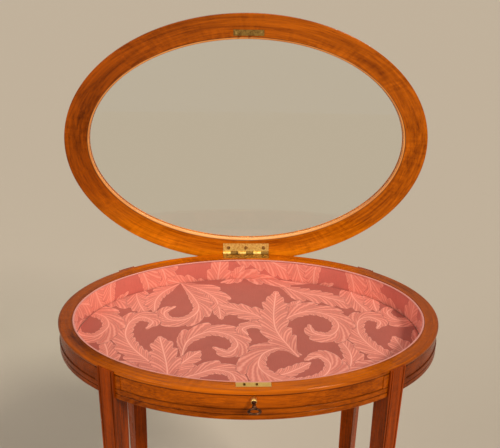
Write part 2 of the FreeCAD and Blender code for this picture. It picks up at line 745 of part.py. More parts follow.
def key_way():
    """The hole through the front rail: wide for the escutcheon, then narrow to the lock."""
    front = "frieze_inset - half_width"
    wide = keyhole("rail_keyhole_wide", "keyhole_clearance + escutcheon_wall + joint_clearance", "%s - 2" % front,
                   "%s + escutcheon_depth + joint_clearance" % front)
    narrow = keyhole("rail_keyhole_narrow", "keyhole_clearance", front, "lock_front_y")
    return fuse("rail_keyhole", wide, narrow)


def key():
    """Hollow-shank key with its bow lying flat and its bit towards -X."""
    front = "bow_back_y - bow_rim / 2"
    shank = rod("key_shank", "shank_radius", "bit_back_y - (%s)" % front, "0", "bit_back_y", "key_z",
                (1, 0, 0), "90")
    collar = rod("key_collar", "collar_radius", "collar_thickness", "0", "collar_back_y", "key_z", (1, 0, 0), "90")
    root = "(shank_radius + drill_pin_radius) / 2"
    bit = box("key_bit", "bit_radius - %s" % root, "bit_length", "bit_thickness", "-(bit_radius + %s) / 2" % root,
              "(bit_front_y + bit_back_y) / 2", "key_z - bit_thickness / 2")
    bow_y = "bow_back_y - bow_length / 2"
    bow_solid = ellipse_disc("bow_solid", "bow_width / 2", "bow_length / 2", "0", bow_y,
                             "key_z - bow_thickness / 2", "key_z + bow_thickness / 2")
    bow_hole = ellipse_disc("bow_hole", "bow_width / 2 - bow_rim", "bow_length / 2 - bow_rim", "0", bow_y,
                            "key_z - bow_thickness", "key_z + bow_thickness")
    bow_ring = cut("key_bow", bow_solid, bow_hole)
    doc.recompute()
    half = SIZES["bow_width"] / 2
    levels = [doc.Derived.key_z + side * SIZES["bow_thickness"] / 2 for side in (-1, 1)]
    rounds = [(inset, level, SIZES["bow_round"]) for level in levels for inset in (0, SIZES["bow_rim"])]
    bow = round_oval_edges("key_bow_rounded", bow_ring, rounds, half)
    pipe = rod("key_pipe", "drill_pin_radius + running_clearance", "pipe_depth + 1", "0", "bit_back_y + 1",
               "key_z", (1, 0, 0), "90")
    piece(fuse("key", cut("key_hollow_shank", shank, pipe), collar, bit, bow), "key")


def link_plate():
    """The plate under the lid's front, with the two hooks that drop into the selvedge."""
    hook_y = "slot_y - hinge_y"
    plate = box("link_flat", "link_length", "link_width", "link_thickness", "0", link_y(), "lid_under")
    hooks = at_hooks(lambda mark, x: box("hook_" + mark, "hook_thickness", "hook_width",
                                         "hook_length + link_thickness / 2", x, hook_y, "lid_under - hook_length"))
    eyes = at_hooks(lambda mark, x: box("hook_eye_" + mark, "hook_thickness + 2", "eye_width", "eye_height", x,
                                        hook_y, "lid_under - hook_length + eye_sill"))
    solid = fuse("link_solid", plate, *hooks)
    piece(on_lid(cut("link_plate", solid, *eyes, *link_screws("link_hole", "screw_clearance"))), "link_plate")
    piece(on_lid(group("link_screws", link_screws("link_screw"))), "link_screws")


def link_y():
    return "lock_back_y - link_width / 2 - hinge_y"


def link_screws(name, clearance="0"):
    return screw_pair(name, "link_screw_spacing", link_y(), "lid_under", clearance, "0")


# ---------------------------------------------------------------- lid

def lid_end_block(corner):
    """Everything on the front or back side of a lid joint."""
    sx, sy = QUARTERS[corner]
    side = sx * sy
    block = box("lid_end_" + corner, "4 * case_length", "2 * case_length", "4 * lid_thickness", "0",
                signed(side, "case_length"), "-lid_thickness")
    return at_lid_joint(block, sx, sy)


def at_lid_joint(block, sx, sy):
    return place(fuse_one(block), signed(sx, "lid_joint_x"), signed(sy, "lid_joint_y") + " - hinge_y", "0",
                 (0, 0, 1), corner_turn(sx, sy, "lid_joint_turn"))


def tongue(name, corner, clearance):
    sx, sy = QUARTERS[corner]
    block = box("%s_%s" % (name, corner), "tongue_width + 2 * %s" % clearance, "tongue_length + 2 * %s" % clearance,
                "tongue_thickness + 2 * %s" % clearance, "0", "0",
                "lid_under + (lid_thickness - lip_thickness - tongue_thickness) / 2 + tongue_lift - %s"
                % clearance)
    return at_lid_joint(block, sx, sy)


def lid_frame():
    y = "-hinge_y"
    ring = oval_ring("lid_ring", "-lid_overhang", "rebate_inset + lip_width", "lid_under", "lid_top", y)
    outer = -SIZES["lid_overhang"]
    inner = doc.Derived.rebate_inset + SIZES["lip_width"]
    under = doc.Derived.lid_under
    top = doc.Derived.lid_top
    rounded = round_oval_edges("lid_rounded", ring, [(outer, top, SIZES["lid_top_round"]),
                                                     (outer, under, SIZES["lid_under_round"]),
                                                     (inner, top, SIZES["lid_inner_round"])])
    rebate = oval("lid_rebate", "rebate_inset", "lid_under - 1", "lid_top - lip_thickness", y)
    leaf = box("lid_leaf_recess", "hinge_length + 2 * recess_clearance", "leaf_width + recess_clearance",
               "leaf_thickness + recess_clearance + 1", "0", "-(leaf_width + recess_clearance) / 2", "lid_under - 1")
    link = box("lid_link_recess", "link_length + 2 * recess_clearance", "link_width + 2 * recess_clearance",
               "link_thickness + recess_clearance + 1", "0", link_y(), "lid_under - 1")
    slots = [tongue("lid_slot", corner, "mortise_clearance") for corner in QUARTERS]
    tools = [rebate, leaf, link, barrel_recess("lid_barrel_recess", "0", "0")] + slots
    tools += lid_hinge_screws("lid_hinge_hole", "screw_clearance")
    tools += link_screws("lid_link_hole", "screw_clearance")
    worked = cut("lid_worked", rounded, *tools)
    ends = {corner: lid_end_block(corner) for corner in QUARTERS}

    def rail(name, side):
        dx, dy = SIDES[side]
        half = box(name + "_half", "2 * case_length", "2 * case_length", "4 * lid_thickness",
                   signed(dx, "case_length"), "%s - hinge_y" % signed(dy, "case_length"), "-lid_thickness")
        part = common(name + "_part", worked, half)
        near = [ends[corner] for corner in QUARTERS if side in corner.split("_")]
        if dx:
            return on_lid(cut(name, part, *near))
        return on_lid(common(name, common(name + "_trimmed", part, near[0]), near[1]))

    for_each_side("lid_rail", rail)
    tongues = [tongue("lid_tongue", corner, "0") for corner in QUARTERS]
    piece(on_lid(group("lid_tongues", tongues)), "lid_tongues")


def lid_glazing():
    y = "-hinge_y"
    piece(on_lid(oval("lid_glass", "rebate_inset + glass_clearance", "glass_under", "glass_top", y)), "lid_glass")
    low = "lid_under + bead_recess"
    ring = oval_ring("bead_ring", "rebate_inset + glue_gap", "rebate_inset + glue_gap + bead_width", low,
                     "glass_under - glass_bed", y)
    inner = doc.Derived.rebate_inset + SIZES["glue_gap"] + SIZES["bead_width"]
    bottom = doc.Derived.lid_under + SIZES["bead_recess"]
    piece(on_lid(round_oval_edges("glazing_bead", ring, [(inner, bottom, SIZES["bead_round"])])), "glazing_bead")


# ---------------------------------------------------------------- build and write

def build():
    for corner in QUARTERS:
        leg(corner)
    ring = frieze_ring()
    board_holes = [screw("rail_hole_" + mark, "board_screw", x, y, "board_bottom", "screw_clearance")
                   for mark, x, y in board_screw_places()]
    tools = {
        "front": [lock_recess("rail_lock_recess"), key_way()] + lock_screw_set("rail_lock_hole", "screw_clearance"),
        "back": case_hinge_screws("rail_hinge_hole", "screw_clearance"),
        "left": [],
    }
    for_each_side("frieze", lambda name, side: frieze_rail(name, side, ring, board_holes + tools[side]))
    panel_mouldings()
    base_mouldings()
    bottom_board()
    linings()
    top_rim()
    hinge()
    lock_case()
    lock_bolt()
    escutcheon()
    key()
    lid_frame()
    lid_glazing()
    link_plate()


def check_and_write():
    doc.recompute()
    for thing in doc.Objects:
        if "Invalid" in thing.State or "Error" in thing.State:
            raise RuntimeError("%s did not build" % thing.Name)
    for thing in pieces:
        if thing.Shape.isNull() or not thing.Shape.isValid() or not thing.Shape.Solids:
            raise RuntimeError("%s has no valid solid" % thing.Label)
    os.makedirs("parts", exist_ok=True)
    for thing in pieces:
        thing.Shape.exportStep("parts/%s.step" % thing.Label)
        print("%-24s %d solids %10.1f mm3" % (thing.Label, len(thing.Shape.Solids), thing.Shape.Volume))


write_sizes()
build()
check_and_write()
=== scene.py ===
"""Oval display table with a glazed lid: the visual model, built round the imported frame."""
import math

import bmesh
import bpy
import numpy as np
from mathutils import Matrix, Vector


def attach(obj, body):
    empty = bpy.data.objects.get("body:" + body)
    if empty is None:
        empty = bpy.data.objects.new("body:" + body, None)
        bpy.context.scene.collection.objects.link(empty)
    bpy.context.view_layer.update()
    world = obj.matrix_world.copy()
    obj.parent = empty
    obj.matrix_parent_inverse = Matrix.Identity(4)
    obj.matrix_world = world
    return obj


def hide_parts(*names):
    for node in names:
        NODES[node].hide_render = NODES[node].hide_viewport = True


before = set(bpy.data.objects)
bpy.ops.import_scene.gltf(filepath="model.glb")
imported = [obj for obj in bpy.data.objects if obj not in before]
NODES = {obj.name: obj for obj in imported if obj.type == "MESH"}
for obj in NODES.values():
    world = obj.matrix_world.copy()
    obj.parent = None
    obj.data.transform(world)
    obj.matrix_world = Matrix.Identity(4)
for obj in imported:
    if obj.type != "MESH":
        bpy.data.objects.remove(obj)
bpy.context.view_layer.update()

# Measures are in metres unless they say otherwise.
# the case: half length and half width outside, and the lining's inner face
CASE_HALF = (0.292, 0.198)
LINING_HALF = (0.2682, 0.1742)
LINING_THICKNESS = 0.0012
LINING_FOOT, LINING_TOP = 0.6724, 0.7093
PAD_UNDERSIDE, PAD_TOP = 0.6723, 0.6752
BRAID_FOOT, BRAID_TOP = 0.7094, 0.7115
LID_MIDDLE_Z = 0.9090
# the outer edge of the glazing bead where it shows, with the lid raised
BEAD_HALF, BEAD_MIDDLE_Z = (0.2694, 0.1741), 0.9093
KEY_AXIS_Z = 0.6995
COLLAR_FRONT_Y = -0.2045


# ---------------------------------------------------------------- node work

def feed(tree, socket, value):
    """Links a socket to another node's output, or sets it to a number, a vector or a colour."""
    if isinstance(value, bpy.types.NodeSocket):
        tree.links.new(value, socket)
    else:
        socket.default_value = value


def put(tree, kind, inputs=(), **settings):
    """A new shader node. Inputs are plain values or other nodes' outputs, by name or place."""
    made = tree.nodes.new("ShaderNode" + kind)
    for name, value in settings.items():
        setattr(made, name, value)
    for where, value in dict(inputs).items():
        feed(tree, made.inputs[where], value)
    return made


def maths(tree, operation, *values, clamp=False):
    """The output of a Math node."""
    return put(tree, "Math", enumerate(values), operation=operation, use_clamp=clamp).outputs[0]


def off_middle(tree, value, share):
    """A random value round 0.5 brought to one round 0, times a share."""
    return maths(tree, "MULTIPLY", maths(tree, "SUBTRACT", value, 0.5), share)


def reach_of(tree, first, second):
    """The length of the vector that has these two parts."""
    squares = maths(tree, "MULTIPLY_ADD", first, first, maths(tree, "MULTIPLY", second, second))
    return maths(tree, "SQRT", squares)


def axes_of(tree, vector):
    """The x, y and z of a vector."""
    return put(tree, "SeparateXYZ", {0: vector}).outputs


def vector_of(tree, x, y, z):
    """The vector with that x, y and z."""
    return put(tree, "CombineXYZ", {0: x, 1: y, 2: z}).outputs[0]


def stretched(tree, vector, scale, offset=(0, 0, 0)):
    """The vector times a scale, so that a noise of scale 1 has features 1 / scale metres long."""
    return put(tree, "Mapping", {"Vector": vector, "Scale": scale, "Location": offset}).outputs[0]


def noise(tree, vector, detail, roughness=0.55):
    """A smooth random value round 0.5."""
    return put(tree, "TexNoise",
               {"Vector": vector, "Scale": 1.0, "Detail": detail, "Roughness": roughness}).outputs[0]


def between(tree, value, low, high, to_low=0.0, to_high=1.0, smooth=False):
    """Value from low..high brought to to_low..to_high, and held there beyond."""
    return put(tree, "MapRange", {0: value, 1: low, 2: high, 3: to_low, 4: to_high},
               interpolation_type="SMOOTHSTEP" if smooth else "LINEAR", clamp=True).outputs[0]


def blended(tree, share, first, second, how="MIX"):
    """Colour first, going to second as share goes to 1."""
    return put(tree, "Mix", {0: share, 6: first, 7: second}, data_type="RGBA", blend_type=how).outputs[2]


def shade(red, green, blue):
    """A colour as seen on a screen, 0 to 255, as the linear numbers that a shader takes."""
    linear = []
    for part in (red, green, blue):
        part /= 255
        linear.append(part / 12.92 if part <= 0.04045 else ((part + 0.055) / 1.055) ** 2.4)
    return (*linear, 1.0)


def effect(name, inputs, outputs):
    """An empty shader group. Returns its tree, its inputs and the node that its outputs go to."""
    tree = bpy.data.node_groups.new(name, "ShaderNodeTree")
    kinds = {"value": "NodeSocketFloat", "colour": "NodeSocketColor", "vector": "NodeSocketVector"}
    for direction, sockets in (("INPUT", inputs), ("OUTPUT", outputs)):
        for socket, kind in sockets.items():
            tree.interface.new_socket(socket, in_out=direction, socket_type=kinds[kind])
    taken = tree.nodes.new("NodeGroupInput")
    given = tree.nodes.new("NodeGroupOutput")
    return tree, taken.outputs, given


def use(tree, group, inputs):
    """The outputs of a shader group placed in a material."""
    made = tree.nodes.new("ShaderNodeGroup")
    made.node_tree = group
    for where, value in inputs.items():
        feed(tree, made.inputs[where], value)
    return made.outputs


def finish_of(name):
    """A new material, with its tree, its Principled shader and its object coordinates."""
    material = bpy.data.materials.new(name)
    material.use_nodes = True
    tree = material.node_tree
    shader = tree.nodes["Principled BSDF"]
    place = tree.nodes.new("ShaderNodeTexCoord").outputs["Object"]
    return material, tree, shader, place


def wire(tree, shader, **sockets):
    """Links or sets the shader's sockets; underscores stand for spaces."""
    for name, value in sockets.items():
        feed(tree, shader.inputs[name.replace("_", " ")], value)


def relief(tree, shader, height, distance):
    """Height, 0 to 1, as a bump of that distance."""
    bump = put(tree, "Bump", {"Height": height, "Distance": distance, "Strength": 1.0})
    tree.links.new(bump.outputs[0], shader.inputs["Normal"])


# ---------------------------------------------------------------- shared effects

MEAN_RADIUS = sum(CASE_HALF) / 2
# from one thread of the satin to the next, and how much the crossing threads slant
THREAD, THREAD_SLANT = 0.0006, 0.35


def make_figured_wood():
    """Satinwood. The first axis of its coordinates runs along the grain."""
    tree, take, give = effect("figured wood",
                              {"Grain": "vector", "Light": "colour", "Dark": "colour", "Figure": "value"},
                              {"Color": "colour", "Gloss": "value", "Height": "value"})
    grain = take["Grain"]
    wander = noise(tree, stretched(tree, grain, (7, 12, 12)), 2)
    lift = vector_of(tree, 0, off_middle(tree, wander, 0.02), 0)
    bent = put(tree, "VectorMath", {0: grain, 1: lift}, operation="ADD").outputs[0]
    broad = noise(tree, stretched(tree, bent, (3, 26, 26)), 2)
    streak = noise(tree, stretched(tree, bent, (9, 260, 260)), 4, 0.65)
    mottle = noise(tree, stretched(tree, bent, (170, 34, 34)), 2, 0.5)
    patch = noise(tree, stretched(tree, grain, (14, 22, 22), (3, 1, 7)), 1)
    pore = noise(tree, stretched(tree, bent, (70, 1500, 1500)), 1)
    shown = maths(tree, "MULTIPLY", between(tree, patch, 0.35, 0.62, smooth=True), take["Figure"])
    tone = maths(tree, "ADD", between(tree, broad, 0.3, 0.7, 0, 0.5),
                 between(tree, streak, 0.3, 0.7, 0, 0.62))
    rippled = maths(tree, "MULTIPLY_ADD", maths(tree, "SUBTRACT", mottle, 0.5), shown, tone)
    pored = maths(tree, "SUBTRACT", rippled, between(tree, pore, 0.62, 0.72, 0, 0.25), clamp=True)
    tree.links.new(blended(tree, pored, take["Dark"], take["Light"]), give.inputs["Color"])
    tree.links.new(between(tree, streak, 0.3, 0.7, 0.1, -0.1), give.inputs["Gloss"])
    tree.links.new(between(tree, pore, 0.6, 0.72, 1, 0), give.inputs["Height"])
    return tree


def make_oval_grain():
    """Turns a place into grain coordinates that follow the oval: along it, up it and across it."""
    tree, take, give = effect("grain round the oval", {"Place": "vector"}, {"Grain": "vector"})
    axes = axes_of(tree, take["Place"])
    across = maths(tree, "DIVIDE", axes[0], CASE_HALF[0])
    away = maths(tree, "DIVIDE", axes[1], CASE_HALF[1])
    turn = maths(tree, "ARCTAN2", across, maths(tree, "MULTIPLY", away, -1.0))
    along = maths(tree, "MULTIPLY", turn, MEAN_RADIUS)
    out = maths(tree, "MULTIPLY", reach_of(tree, across, away), MEAN_RADIUS)
    tree.links.new(vector_of(tree, along, axes[2], out), give.inputs["Grain"])
    return tree


def make_handling():
    """Smudges of handling, 0 to 1, and fine scratches, 0 to 1."""
    tree, take, give = effect("handling", {"Place": "vector"}, {"Smudge": "value", "Scratch": "value"})
    smudge = noise(tree, stretched(tree, take["Place"], (23, 23, 23)), 4, 0.6)
    tree.links.new(between(tree, smudge, 0.4, 0.68, smooth=True), give.inputs["Smudge"])
    long_way = noise(tree, stretched(tree, take["Place"], (60, 2600, 2600)), 1)
    cross_way = noise(tree, stretched(tree, take["Place"], (2100, 90, 700), (2, 5, 1)), 1)
    scratch = maths(tree, "MAXIMUM", between(tree, long_way, 0.7, 0.76),
                    between(tree, cross_way, 0.72, 0.78))
    tree.links.new(scratch, give.inputs["Scratch"])
    return tree


def make_weave():
    """A satin weave on cloth coordinates: its shade round 0 and its height, 0 to 1."""
    tree, take, give = effect("satin weave", {"Cloth": "vector"}, {"Shade": "value", "Height": "value"})
    axes = axes_of(tree, take["Cloth"])
    turns = 2 * math.pi / THREAD
    warp = maths(tree, "SINE", maths(tree, "MULTIPLY", axes[0], turns))
    slant = maths(tree, "MULTIPLY_ADD", axes[0], THREAD_SLANT, axes[1])
    weft = maths(tree, "SINE", maths(tree, "MULTIPLY", slant, turns))
    height = maths(tree, "MULTIPLY_ADD", maths(tree, "MULTIPLY", warp, weft), 0.25, 0.5)
    slub = noise(tree, stretched(tree, take["Cloth"], (1400, 60, 60)), 2)
    nap = noise(tree, stretched(tree, take["Cloth"], (25, 25, 25)), 3)
    uneven = maths(tree, "ADD", off_middle(tree, slub, 0.30), off_middle(tree, nap, 0.25))
    tree.links.new(uneven, give.inputs["Shade"])
    tree.links.new(height, give.inputs["Height"])
    return tree


FIGURED_WOOD = make_figured_wood()
OVAL_GRAIN = make_oval_grain()
HANDLING = make_handling()
WEAVE = make_weave()


# ---------------------------------------------------------------- finishes

# which axes run along the grain, up it and across it
GRAIN_AXES = {"x": (0, 2, 1), "y": (1, 2, 0), "z": (2, 0, 1)}
# from where to where the wood comes back to its own colour: by x over the lid, darker towards its left
# end; by x over the case, painted shade at both its ends; and by z up the raised lid, a painted
# highlight, paler at its foot
LID_DEEP_X, CASE_SHADED_X, LID_LIT_FOOT_Z = (-0.27, 0.10), (0.27, 0.13), (0.70, 0.84)
# painted shade: dark lines at the heights between the two mouldings, over the upper one and under the rim
SEAM_SHADE, SHADED_SEAMS = shade(58, 20, 2), (0.67355, 0.6822, 0.7046)
SEAM_SPREAD, SEAM_SHARE = (0.0001, 0.0017), 0.62
# the bead's outer edge, as shares of its half length and half width, where a dark line is painted:
# partly painted shade, partly the bead's dark joint with the frame
BEAD_EDGE, BEAD_EDGE_SHARE = (0.9935, 0.9975), 0.85
COLLAR_SOFTNESS = 0.0002
# from one strand of the braid to the next, and by how many radians a metre the strands slant
PLAIT, PLAIT_SLANT = 0.0016, 1500.0
# how far bumps stand up
POLISHED_RELIEF, PLANED_RELIEF, DAMASK_RELIEF, BRAID_RELIEF = 0.00006, 0.0002, 0.00025, 0.0002
# what the cloth's vertices carry, as scrolls gives it
PATTERN = ("leaf", "top", "spine", "fold", "under")


def grain_along(tree, place, way):
    """Grain coordinates. Way is x, y or z, which the grain runs along, or it goes round the case, or
    round the raised lid from below or from above."""
    axes = axes_of(tree, place)
    if way in GRAIN_AXES:
        return vector_of(tree, *(axes[axis] for axis in GRAIN_AXES[way]))
    if way.startswith("round the lid"):
        side = -1.0 if way.endswith("from above") else 1.0
        across = maths(tree, "MULTIPLY", axes[0], side)
        up = maths(tree, "MULTIPLY", maths(tree, "SUBTRACT", axes[2], LID_MIDDLE_Z), side)
        place = vector_of(tree, across, up, axes[1])
    return use(tree, OVAL_GRAIN, {"Place": place})["Grain"]


def satinwood(name, way, light, dark, figure, offset, closeness=1.0, coat=0.16, deep=None, low=None,
              seams=(), edged=False):
    """French-polished satinwood with the grain along the way, packed across it by closeness. Deep is
    the darker pair of light and dark colours that it goes to: at both ends of the case, as painted
    shade where the ends turn from the light, or, with low, towards the lid's left end. Low is the paler
    pair painted at the foot of the raised lid, a painted highlight. Dark lines of painted shade run
    along the seams at the heights given, and round the outside of an edged bead, where the line is
    partly painted shade and partly the bead's dark joint with the frame."""
    material, tree, shader, place = finish_of(name)
    grain = stretched(tree, grain_along(tree, place, way), (1, closeness, closeness), offset)
    axes = axes_of(tree, place)
    # deep: painted shade at both ends of the case; towards the lid's left end the wood is only darker
    if deep:
        if low:
            own = between(tree, axes[0], *LID_DEEP_X, smooth=True)
        else:
            own = between(tree, maths(tree, "ABSOLUTE", axes[0]), *CASE_SHADED_X, smooth=True)
        light, dark = blended(tree, own, deep[0], light), blended(tree, own, deep[1], dark)
    # low: a painted highlight, paler towards the foot of the raised lid
    if low:
        own = between(tree, axes[2], *LID_LIT_FOOT_Z, smooth=True)
        light, dark = blended(tree, own, low[0], light), blended(tree, own, low[1], dark)
    wood = use(tree, FIGURED_WOOD, {"Grain": grain, "Light": light, "Dark": dark, "Figure": figure})
    colour = wood["Color"]
    # painted shade: dark lines along the seams
    for height in seams:
        away = maths(tree, "ABSOLUTE", maths(tree, "SUBTRACT", axes[2], height))
        dark_line = between(tree, away, *SEAM_SPREAD, SEAM_SHARE, 0, smooth=True)
        colour = blended(tree, dark_line, colour, SEAM_SHADE)
    # a dark line round the bead's outer edge: partly painted shade, partly the bead's dark joint with the
    # frame
    if edged:
        across = maths(tree, "DIVIDE", axes[0], BEAD_HALF[0])
        up = maths(tree, "DIVIDE", maths(tree, "SUBTRACT", axes[2], BEAD_MIDDLE_Z), BEAD_HALF[1])
        dark_line = between(tree, reach_of(tree, across, up), *BEAD_EDGE, 0, BEAD_EDGE_SHARE)
        colour = blended(tree, dark_line, colour, SEAM_SHADE)
    hands = use(tree, HANDLING, {"Place": grain})
    rough = maths(tree, "MULTIPLY_ADD", hands["Smudge"], 0.10, 0.24)
    rough = maths(tree, "ADD", rough, maths(tree, "MULTIPLY", hands["Scratch"], 0.12))
    rough = maths(tree, "ADD", rough, wood["Gloss"], clamp=True)
    wire(tree, shader, Base_Color=colour, Roughness=rough, Coat_Weight=coat, Coat_Roughness=0.08,
         Specular_IOR_Level=0.10, Specular_Tint=shade(255, 196, 110))
    relief(tree, shader, wood["Height"], POLISHED_RELIEF)
    return material


def plain_wood(name):
    """Planed deal, not polished, gone brown with age, with its grain along x."""
    material, tree, shader, place = finish_of(name)
    wood = use(tree, FIGURED_WOOD, {"Grain": place, "Light": shade(176, 128, 78),
                                    "Dark": shade(104, 66, 36), "Figure": 0.1})
    wire(tree, shader, Base_Color=wood["Color"], Roughness=maths(tree, "ADD", wood["Gloss"], 0.68))
    relief(tree, shader, wood["Height"], PLANED_RELIEF)
    return material


def metal(name, bright, dull, base_rough, spots, collar=None):
    """Polished metal with a patchy tarnish. Collar is the bright and the dull colour that the key has
    from the front of its collar backwards."""
    material, tree, shader, place = finish_of(name)
    hands = use(tree, HANDLING, {"Place": place})
    mottle = noise(tree, stretched(tree, place, (260, 260, 260)), 4, 0.6)
    tarnish = maths(tree, "MULTIPLY", between(tree, mottle, 0.4, 0.65, smooth=True), spots)
    tarnish = maths(tree, "MULTIPLY_ADD", hands["Smudge"], 0.3, tarnish, clamp=True)
    rough = maths(tree, "MULTIPLY_ADD", tarnish, 0.22, base_rough)
    colour = blended(tree, tarnish, bright, dull)
    if collar:
        behind = between(tree, axes_of(tree, place)[1], COLLAR_FRONT_Y - COLLAR_SOFTNESS, COLLAR_FRONT_Y)
        colour = blended(tree, behind, colour, blended(tree, tarnish, *collar))
    wire(tree, shader, Base_Color=colour, Metallic=1.0,
         Roughness=maths(tree, "MULTIPLY_ADD", hands["Scratch"], 0.12, rough))
    scored = maths(tree, "SUBTRACT", mottle, maths(tree, "MULTIPLY", hands["Scratch"], 0.5))
    relief(tree, shader, scored, POLISHED_RELIEF)
    return material


def damask_cloth(name, ground, motif_colour, shine):
    """Rose ground with a paler satin scroll woven in, from the pattern that the cloth carries."""
    material, tree, shader, _ = finish_of(name)
    cloth = put(tree, "UVMap", uv_map="cloth").outputs[0]
    leaf, top, spine, fold, under = (put(tree, "Attribute", attribute_name=part).outputs["Fac"]
                                     for part in PATTERN)
    weave = use(tree, WEAVE, {"Cloth": cloth})
    woven_in = between(tree, leaf, -0.0003, 0.0005)
    edge = between(tree, top, 0.0002, 0.0013, 0.75, 0)
    rib = between(tree, spine, 0.0005, 0.0014, 1, 0)
    off_rib = between(tree, spine, 0.0010, 0.0035)
    ripple = maths(tree, "COSINE", maths(tree, "MULTIPLY", fold, 6 * math.pi))
    light = maths(tree, "MULTIPLY", between(tree, ripple, 0, 1, 0, 0.55), off_rib)
    light = maths(tree, "MAXIMUM", edge, maths(tree, "MAXIMUM", rib, light))
    dark = maths(tree, "MULTIPLY", between(tree, ripple, -1, 0, 0.34, 0), off_rib)
    valley = maths(tree, "COSINE", maths(tree, "MULTIPLY", fold, 2 * math.pi))
    crease = maths(tree, "MULTIPLY", between(tree, valley, 0.86, 1, 0, 0.62),
                   between(tree, spine, 0.002, 0.008))
    dark = maths(tree, "MAXIMUM", dark, crease)
    dark = maths(tree, "MULTIPLY_ADD", under, 0.75, dark, clamp=True)
    motif = blended(tree, light, motif_colour, shine)
    pattern = blended(tree, woven_in, ground, blended(tree, dark, motif, ground))
    lit = maths(tree, "ADD", weave["Shade"], 1.0)
    uneven = put(tree, "CombineColor", {0: lit, 1: lit, 2: lit}).outputs[0]
    satin = maths(tree, "MULTIPLY", woven_in, maths(tree, "SUBTRACT", 1.0, dark))
    wire(tree, shader, Base_Color=blended(tree, 1.0, pattern, uneven, "MULTIPLY"),
         Roughness=between(tree, satin, 0, 1, 0.72, 0.48), Sheen_Weight=0.25, Sheen_Roughness=0.45,
         Sheen_Tint=shade(255, 214, 200), Specular_IOR_Level=0.3)
    raised = maths(tree, "MULTIPLY_ADD", light, 0.3, maths(tree, "MULTIPLY", satin, 0.6))
    relief(tree, shader, maths(tree, "MULTIPLY_ADD", weave["Height"], 0.2, raised), DAMASK_RELIEF)
    return material


def braid_finish():
    """Rose braid, its strands slanting in from both sides to the middle, painted paler on their crowns and
    darker between them as painted shade.
    """
    material, tree, shader, _ = finish_of("braid")
    cloth = put(tree, "UVMap", uv_map="cloth").outputs[0]
    axes = axes_of(tree, cloth)
    along = maths(tree, "MULTIPLY", axes[0], 2 * math.pi / PLAIT)
    plait = maths(tree, "MULTIPLY_ADD", maths(tree, "ABSOLUTE", axes[1]), PLAIT_SLANT, along)
    strand = between(tree, maths(tree, "SINE", plait), -1, 1)
    age = noise(tree, stretched(tree, cloth, (40, 40, 40)), 3)
    # painted shade: darker between the strands, paler on their crowns, with a random tone over it
    share = maths(tree, "MULTIPLY", strand, between(tree, age, 0.3, 0.7, 0.6, 1.0))
    wire(tree, shader, Base_Color=blended(tree, share, shade(196, 116, 102), shade(244, 172, 158)),
         Roughness=0.62, Sheen_Weight=0.3, Sheen_Roughness=0.4, Sheen_Tint=shade(255, 224, 214))
    relief(tree, shader, strand, BRAID_RELIEF)
    return material


def plate_glass():
    """Clear glass that lets its own shadow through."""
    material, tree, shader, place = finish_of("plate glass")
    hands = use(tree, HANDLING, {"Place": place})
    wire(tree, shader, Base_Color=shade(246, 249, 247), Metallic=0.0, Transmission_Weight=1.0, IOR=1.5,
         Roughness=maths(tree, "MULTIPLY", hands["Smudge"], 0.05))
    clear = put(tree, "BsdfTransparent", {0: (0.93, 0.95, 0.94, 1)}).outputs[0]
    light = put(tree, "LightPath").outputs["Is Shadow Ray"]
    mixed = put(tree, "MixShader", {0: light, 1: shader.outputs[0], 2: clear}).outputs[0]
    tree.links.new(mixed, tree.nodes["Material Output"].inputs["Surface"])
    return material


# pairs of the light and the dark colour
LID_WOOD = (shade(208, 104, 8), shade(92, 30, 0))
RIM_WOOD = (shade(222, 111, 6), shade(106, 36, 0))
FRIEZE_WOOD = (shade(202, 96, 6), shade(86, 26, 0))
# painted shade: a darker copy of the frieze wood for the case's ends, which turn from the light
SHADED_END_WOOD = (shade(156, 64, 2), shade(62, 16, 0))
# painted shade: the legs' wood darker overall, as they get less light, with strong grain contrast
SHADED_LEG_WOOD = (shade(184, 72, 0), shade(26, 6, 0))
# darker wood: painted shade at the case's ends, and the darker wood towards the lid's left end
DEEP_WOOD = (shade(172, 78, 4), shade(70, 22, 0))
# painted highlight: paler wood at the foot of the raised lid
LIT_FOOT_WOOD = (shade(244, 134, 12), shade(128, 48, 0))
# painted highlight: the bead's wood paler, as its rounded face catches the light, and paler again at its
# foot
LIT_BEAD_WOOD = (shade(240, 162, 88), shade(190, 106, 44))
LIT_FOOT_BEAD = (shade(255, 200, 128), shade(228, 142, 66))
COLLAR_BRASS = (shade(255, 226, 134), shade(228, 180, 98))

BRASS = metal("brass", shade(255, 226, 134), shade(206, 150, 70), 0.5, 0.6)
LOCK_BRASS = metal("lock brass", shade(255, 214, 120), shade(226, 174, 92), 0.3, 0.35)
DARK_BRASS = metal("dark brass", shade(176, 134, 66), shade(92, 66, 34), 0.3, 0.6)
SCREW_BRASS = metal("screw brass", shade(206, 164, 90), shade(92, 64, 28), 0.34, 0.9)
BRONZE = metal("dark bronze", shade(112, 72, 48), shade(50, 32, 24), 0.34, 0.9, COLLAR_BRASS)
STEEL = metal("steel", shade(176, 172, 166), shade(96, 88, 80), 0.3, 0.8)
FLOOR_DAMASK = damask_cloth("floor damask", shade(174, 90, 76), shade(224, 130, 110), shade(248, 174, 152))
# painted light: a lighter copy of the floor's damask, as the wall's cloth is more strongly lit
LIT_WALL_DAMASK = damask_cloth("wall damask", shade(208, 110, 94), shade(238, 140, 118), shade(255, 176, 152))
BRAID = braid_finish()


def paint(material, *names):
    """Gives the named nodes that material."""
    for name in names:
        node = NODES[name]
        node.data.materials.clear()
        node.data.materials.append(material)


